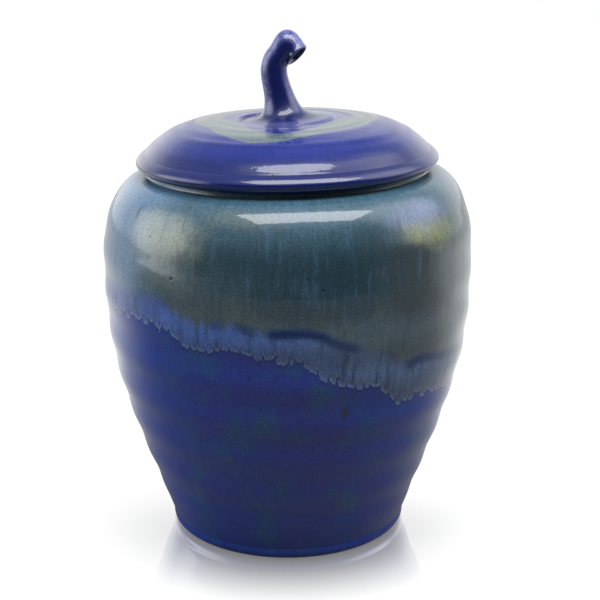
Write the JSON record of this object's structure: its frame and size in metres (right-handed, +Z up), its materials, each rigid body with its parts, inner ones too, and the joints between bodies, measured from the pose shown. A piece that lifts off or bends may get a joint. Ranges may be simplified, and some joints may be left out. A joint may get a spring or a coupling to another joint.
{
  "type": "funeral urn",
  "caption": "Hand-thrown lidded stoneware urn: a hollow round-shouldered jar on a turned foot, and a domed lift-off lid with a curled gourd-stem knob.",
  "frame": {"origin": "centre of the foot ring's contact plane, where the urn's axis meets the table", "axes": "+Z up along the axis; +X is the side that the tip of the stem curls towards; -Y is the side that the tip's cut end turns a little towards"},
  "size_m": [0.19, 0.19, 0.2589],
  "materials": {
    "jar_glaze": "gloss cobalt-blue glaze with a sage-green overglaze running down from the shoulder; bare buff stoneware on the foot ring",
    "lid_glaze": "gloss cobalt-blue glaze with a band of sage green round the stem; bare stoneware on the seat and the flange"
  },
  "bodies": {
    "root": {"jar": "jar_glaze", "lid": "lid_glaze"}
  },
  "joints": []
}
